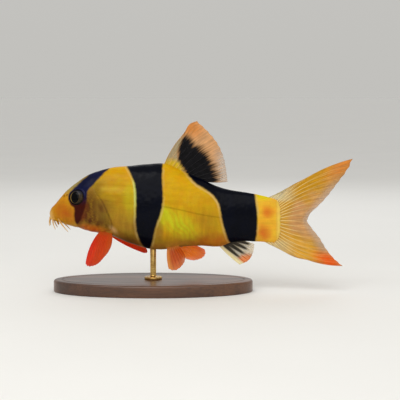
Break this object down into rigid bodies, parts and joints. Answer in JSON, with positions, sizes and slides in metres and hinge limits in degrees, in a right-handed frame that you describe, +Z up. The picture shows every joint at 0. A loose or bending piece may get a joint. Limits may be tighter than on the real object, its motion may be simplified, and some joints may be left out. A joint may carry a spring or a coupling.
{
  "type": "clown loach model",
  "caption": "Life-size still model of a clown loach, golden with broad black bands, forked tail and red fins, held over a flat oval base by a short rod.",
  "frame": {"origin": "middle of the flat underside of the stand's base", "axes": "+X from the fish's head to its tail, +Z up, -Y to the fish's left"},
  "size_m": [0.1512, 0.046, 0.0849],
  "materials": {
    "skin": "golden fish skin with three blue-black bands, satin and moist",
    "orange_fin": "thin orange fin membrane over fine rays",
    "red_fin": "thin red-orange fin membrane over fine rays",
    "eye": "dark glossy eye with a golden iris ring",
    "stand_wood": "dark satin walnut",
    "stand_brass": "brushed brass"
  },
  "bodies": {
    "root": {"head": "skin", "trunk": "skin", "tail_stalk": "skin", "dorsal_fin": "orange_fin", "anal_fin": "orange_fin", "tail_fin_upper": "orange_fin", "tail_fin_lower": "orange_fin", "pectoral_fin_left": "red_fin", "pectoral_fin_right": "red_fin", "pelvic_fin_left": "red_fin", "pelvic_fin_right": "red_fin", "eye_left": "eye", "eye_right": "eye", "barbel_rostral_inner_left": "skin", "barbel_rostral_inner_right": "skin", "barbel_rostral_outer_left": "skin", "barbel_rostral_outer_right": "skin", "barbel_maxillary_left": "skin", "barbel_maxillary_right": "skin", "stand_base": "stand_wood", "stand_rod": "stand_brass"}
  },
  "joints": []
}
